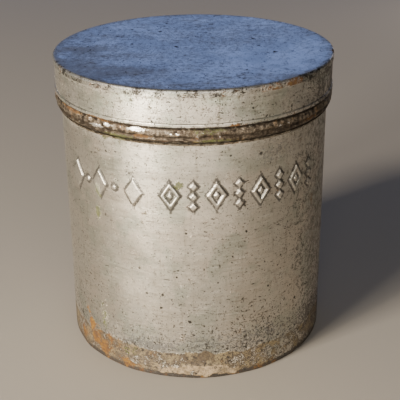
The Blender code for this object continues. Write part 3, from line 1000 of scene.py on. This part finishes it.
def sheet_tin(g, n, tints, top):
    """The tin itself, mottled, scuffed and filmed with dirt; a flat top has its own colour."""
    clean, warm, cool = tints
    base = g.coats(clean, (g.smooth(n.broad, 0.4, 0.6), 1, warm),
                   (g.smooth(n.second, 0.48, 0.62), 0.85, cool))
    if top:
        worn = g.mix(g.smooth(n.broad, 0.38, 0.62), top, tuple(0.72 * part for part in top))
        base = g.mix(g.field("flat"), base, worn)
    return g.coats(
        base, (g.field("verdigris"), 0.7, VERDIGRIS), (g.smooth(n.patch, 0.52, 0.68), 0.26, GRIME_AND_SHADE),
        (g.smooth(n.drips, 0.54, 0.7), 0.3, TAN_STAIN), (g.smooth(n.scuffs, 0.55, 0.68), 0.42, SCRAPED),
        (g.smooth(n.scuffs, 0.44, 0.32), 0.38, GRIME_AND_SHADE), (g.smooth(n.medium, 0.54, 0.7), 0.4, GRIME_AND_SHADE),
        (g.smooth(n.fine, 0.56, 0.72), 0.45, GRIME_AND_SHADE), (g.field("inside"), 0.35, TAN_STAIN))


def sheet_specks(g, n, places):
    """Dark specks and dashes, more of them where the speck field is high, and the listed pits."""
    marks = []
    for noise_values, bare_from, full_from, softness in (
            ((9, 640, 2, 0.5), 0.675, 0.575, 0.025),
            ((10, 330, 3, 0.55), 0.69, 0.592, 0.02),
            ((16, 1, 2, 0.5, (170, 170, 640)), 0.68, 0.64, 0.02),
            ((14, 1, 3, 0.6, (190, 190, 120)), 0.7, 0.645, 0.015)):
        start = g.spread(g.field("speck"), bare_from, full_from)
        marks.append(g.smooth(g.noise(*noise_values), start, g.add(start, softness)))
    if places:
        marks.append(pits(g, places, g.smooth(n.medium, 0.35, 0.65)))
    return g.most(*marks)


def sheet_layers(g, n, places):
    """How much of each kind of dirt, rust, growth and painted shade covers a sheet, from 0 to 1."""
    crust = g.times(g.smooth(g.field("crust"), 0.35, 0.75), g.blend(n.patch, n.medium, 0.5, 0.43, 0.48))
    return SimpleNamespace(
        smut_and_shade=broken(g, "smut_and_shade", n.speckled, 0.2), foot=broken(g, "foot", n.rougher, 0.14),
        grime_and_shade=broken(g, "grime_and_shade", n.ragged, 0.45), outline=broken(g, "outline", n.ragged, 0.3),
        rust=broken(g, "rust", n.rougher, 0.14), moss=broken(g, "moss", n.ragged, 0.14),
        dark=sheet_specks(g, n, places), crust=crust)


# dirt is the colour of the grime layer, which is also painted shade on the wall and the lid's band.
def sheet_material(name, tints, roughness, brush=WALL_BRUSH, top=None, dirt=GRIME_AND_SHADE, dirt_metal=0.55,
                   places=(), glow=1):
    """Old tinned sheet: mottled, scuffed, pitted, stained, rusty and painted with shade where its fields
    say.
    """
    g = Graph(name)
    n = sheet_noises(g, brush)
    on = sheet_layers(g, n, places)
    base = g.coats(
        sheet_tin(g, n, tints, top), (on.smut_and_shade, 0.8, SMUT_AND_SHADE), (on.foot, 0.95, foot_colour(g, n)),
        (on.grime_and_shade, 0.66, dirt), (on.outline, 0.9, PIT_AND_SHADOW_BLACK), (on.dark, 0.94, PIT_AND_SHADOW_BLACK),
        (on.rust, 1, rust_colour(g, n.fine, n.medium, glow)), (on.moss, 0.9, moss_colour(g, n.fine)),
        (on.crust, 1, crust_colour(g, n)), (g.field("crest"), 0.15, SCRAPED))

    dull = g.most(on.rust, on.moss, on.crust, g.times(on.foot, 0.75))
    # Smut, outlines and grime, parts of them painted shade, make the tin rougher and less metallic.
    stained = g.most(on.smut_and_shade, on.outline, on.grime_and_shade)
    rough = g.add(g.times(n.patch, 0.5), g.times(n.scuffs, 0.5))
    rough = g.add(g.spread(rough, roughness - 0.22, roughness + 0.22), g.times(stained, 0.16))
    rough = g.most(rough, g.times(g.most(dull, on.dark), 0.85))
    metal = g.times(g.math("SUBTRACT", 1, g.times(dull, 0.95)),
                    g.spread(stained, TIN_METAL, TIN_METAL * dirt_metal))
    height = g.add(g.times(n.medium, 0.45), g.times(n.fine, 0.3))
    height = g.add(height, g.times(n.scuffs, 0.2))
    height = g.math("SUBTRACT", height, g.times(on.dark, 0.15))
    height = g.add(height, g.times(g.times(dull, n.fine), 1.8))
    return g.finish(base, rough, metal, height, 0.55, 0.0004)


def rough_metal(name, tints, roughness=0.55, metallic=0.85, bump=0.9):
    """Rough bar, solder or wire: browned and lumpy, with bright worn places."""
    g = Graph(name)
    broad = g.noise(11, 60, 3, 0.6)
    medium = g.noise(12, 260, 5, 0.65)
    fine = g.noise(13, 900, 4, 0.65)
    ragged = g.blend(medium, fine, 0.55)
    rust = broken(g, "rust", ragged, 0.16)
    moss = broken(g, "moss", ragged, 0.18)
    bright = broken(g, "bright", ragged, 0.1)
    base = g.coats(
        g.mix(g.smooth(medium, 0.38, 0.62), *tints), (g.smooth(broad, 0.45, 0.65), 0.5, TAN_STAIN),
        (g.smooth(medium, 0.46, 0.38), 0.6, PIT_AND_SHADOW_BLACK), (g.smooth(fine, 0.5, 0.62), 0.8, PIT_AND_SHADOW_BLACK),
        # On the hoop this grease layer is also painted shade.
        (broken(g, "grime_and_shade", ragged, 0.25), 0.8, GREASE_AND_SHADE),
        (rust, 0.9, rust_colour(g, fine, medium, 0.42)), (moss, 0.85, moss_colour(g, fine)),
        (bright, 1, BRIGHT_METAL))

    covered = g.math("SUBTRACT", 1, bright)
    dull = g.times(g.most(rust, moss), covered)
    rough = g.most(g.spread(medium, roughness - 0.15, roughness + 0.2), g.times(dull, 0.88))
    rough = g.math("MINIMUM", rough, g.spread(covered, 0.32, 1))
    metal = g.times(g.math("SUBTRACT", 1, dull), metallic)
    height = g.add(g.times(medium, 0.7), g.times(fine, 0.45))
    return g.finish(base, rough, metal, height, bump, 0.0007)


# ---- The scene ----

FLOOR_HALF = 6
FLOOR_DROP = 0.0002
FLOOR_PAINT = (0.4, 0.36, 0.31)
CAN_TARGET = (0, 0, 0.14)
LID_TARGET = (0, 0, 0.27)
SKY_COLOUR, SKY_STRENGTH = (0.62, 0.7, 0.86, 1), 0.06
SENSOR_WIDTH, FOCAL_LENGTH = 36, 87.27              # millimetres
EYE = (0, -0.8594, 0.5127)
PITCH, ROLL, YAW = math.radians(24.4), 0.0106, 0.0053


def make_floor():
    mesh = bpy.data.meshes.new("floor")
    bm = bmesh.new()
    bmesh.ops.create_grid(bm, x_segments=1, y_segments=1, size=FLOOR_HALF)
    bm.to_mesh(mesh)
    bm.free()
    floor = new_object("floor", mesh)
    floor.location.z = -FLOOR_DROP
    g = Graph("floor_paint", 0.9, 0)
    g.feeds(g.shader, {"Base Color": FLOOR_PAINT})
    mesh.materials.append(g.material)


def direction(turn, lift):
    """A unit vector at an angle round from the front and an angle up."""
    return Vector((math.sin(turn) * math.cos(lift), -math.cos(turn) * math.cos(lift), math.sin(lift)))


def area_light(name, azimuth, elevation, distance, size, watts, colour, target=CAN_TARGET):
    """A soft panel of a width and height, facing the target from a distance."""
    light = bpy.data.lights.new(name, "AREA")
    light.shape = "RECTANGLE"
    light.size, light.size_y = size
    light.energy = watts
    light.color = colour
    lamp = new_object(name, light)
    aim = direction(math.radians(azimuth), math.radians(elevation))
    lamp.location = Vector(target) + aim * distance
    lamp.rotation_euler = aim.to_track_quat("Z", "Y").to_euler()
    lamp.visible_camera = False


def make_light():
    world = bpy.data.worlds.new("studio")
    bpy.context.scene.world = world
    world.use_nodes = True
    background = world.node_tree.nodes["Background"]
    background.inputs["Color"].default_value = SKY_COLOUR
    background.inputs["Strength"].default_value = SKY_STRENGTH
    area_light("key", -52, 34, 5, (0.9, 0.9), 225, (1, 0.9, 0.76))
    area_light("low_strip", -39, 3, 1.5, (0.3, 0.24), 50, (1, 0.93, 0.8))
    area_light("low_fill", 6, 4, 1.8, (1.2, 0.24), 24, (1, 0.93, 0.82))
    area_light("rim_strip", 150, 5, 1.6, (0.1, 0.5), 1, (1, 0.88, 0.75))
    area_light("sky_panel", 178, 17, 3.2, (4.2, 1.3), 15.5, (0.29, 0.45, 1), LID_TARGET)


def make_camera():
    """The photograph's viewpoint, fitted to the lid and foot."""
    camera = bpy.data.cameras.new("camera")
    camera.sensor_width = SENSOR_WIDTH
    camera.lens = FOCAL_LENGTH
    back = direction(-YAW, PITCH)
    right = Vector((math.cos(YAW), -math.sin(YAW), 0))
    up = right.cross(-back)
    tilted_right = right * math.cos(ROLL) - up * math.sin(ROLL)
    tilted_up = right * math.sin(ROLL) + up * math.cos(ROLL)
    turn = Matrix((tilted_right, tilted_up, back)).transposed().to_4x4()
    view = new_object("camera", camera)
    view.matrix_world = Matrix.Translation(Vector(EYE)) @ turn
    bpy.context.scene.camera = view


def build():
    hoop_solder = rough_metal("hoop_solder", HOOP_SOLDER_TINTS)
    seam_solder = rough_metal("seam_solder", SEAM_SOLDER_TINTS, 0.5, 0.85, 0.5)
    cover_tin = sheet_material("cover_tin", LID_TINTS, 0.34, brush=DISC_BRUSH, top=LID_TOP,
                               dirt=LID_DARK_TONE, dirt_metal=0.92, glow=0.22)
    make_wall(sheet_material("wall_tin", WALL_TINTS, 0.37, places=WALL_PITS))
    make_wire(rough_metal("wire_steel", WIRE_TINTS, 0.45, 0.85, 0.4))
    make_hoop(rough_metal("hoop_iron", HOOP_TINTS))
    make_solder("hoop_solder_above", ("can", "ring_solder_upper", "old_solder"),
                0.0016, 0.002, 91, hoop_solder)
    make_solder("hoop_solder_below", ("can", "ring_solder_lower", "old_solder"),
                0.002, -0.0026, 92, hoop_solder)
    make_bottom(sheet_material("bottom_tin", BOTTOM_TINTS, 0.5, brush=DISC_BRUSH))
    make_solder("bottom_bead", ("can", "bottom_solder", "seam_solder"),
                -0.002, 0.0022, 93, seam_solder)
    make_foot_band(rough_metal("foot_iron", FOOT_TINTS, 0.75, 0.4))
    seam_bead("wall_seam_bead", "side_seam_solder", "can", WALL_R, 94, seam_solder)
    make_cover(cover_tin)
    make_skirt(sheet_material("skirt_tin", LID_TINTS, 0.37, glow=0.6))
    make_solder("lid_corner_bead", ("lid", "lid_solder", "seam_solder"),
                -0.0016, -0.002, 95, seam_solder)
    seam_bead("lid_seam_bead", "lid_seam_solder", "lid", SKIRT_R - HEM_BULGE, 96, seam_solder)
    make_floor()
    make_light()
    make_camera()


build()
bpy.context.view_layer.update()
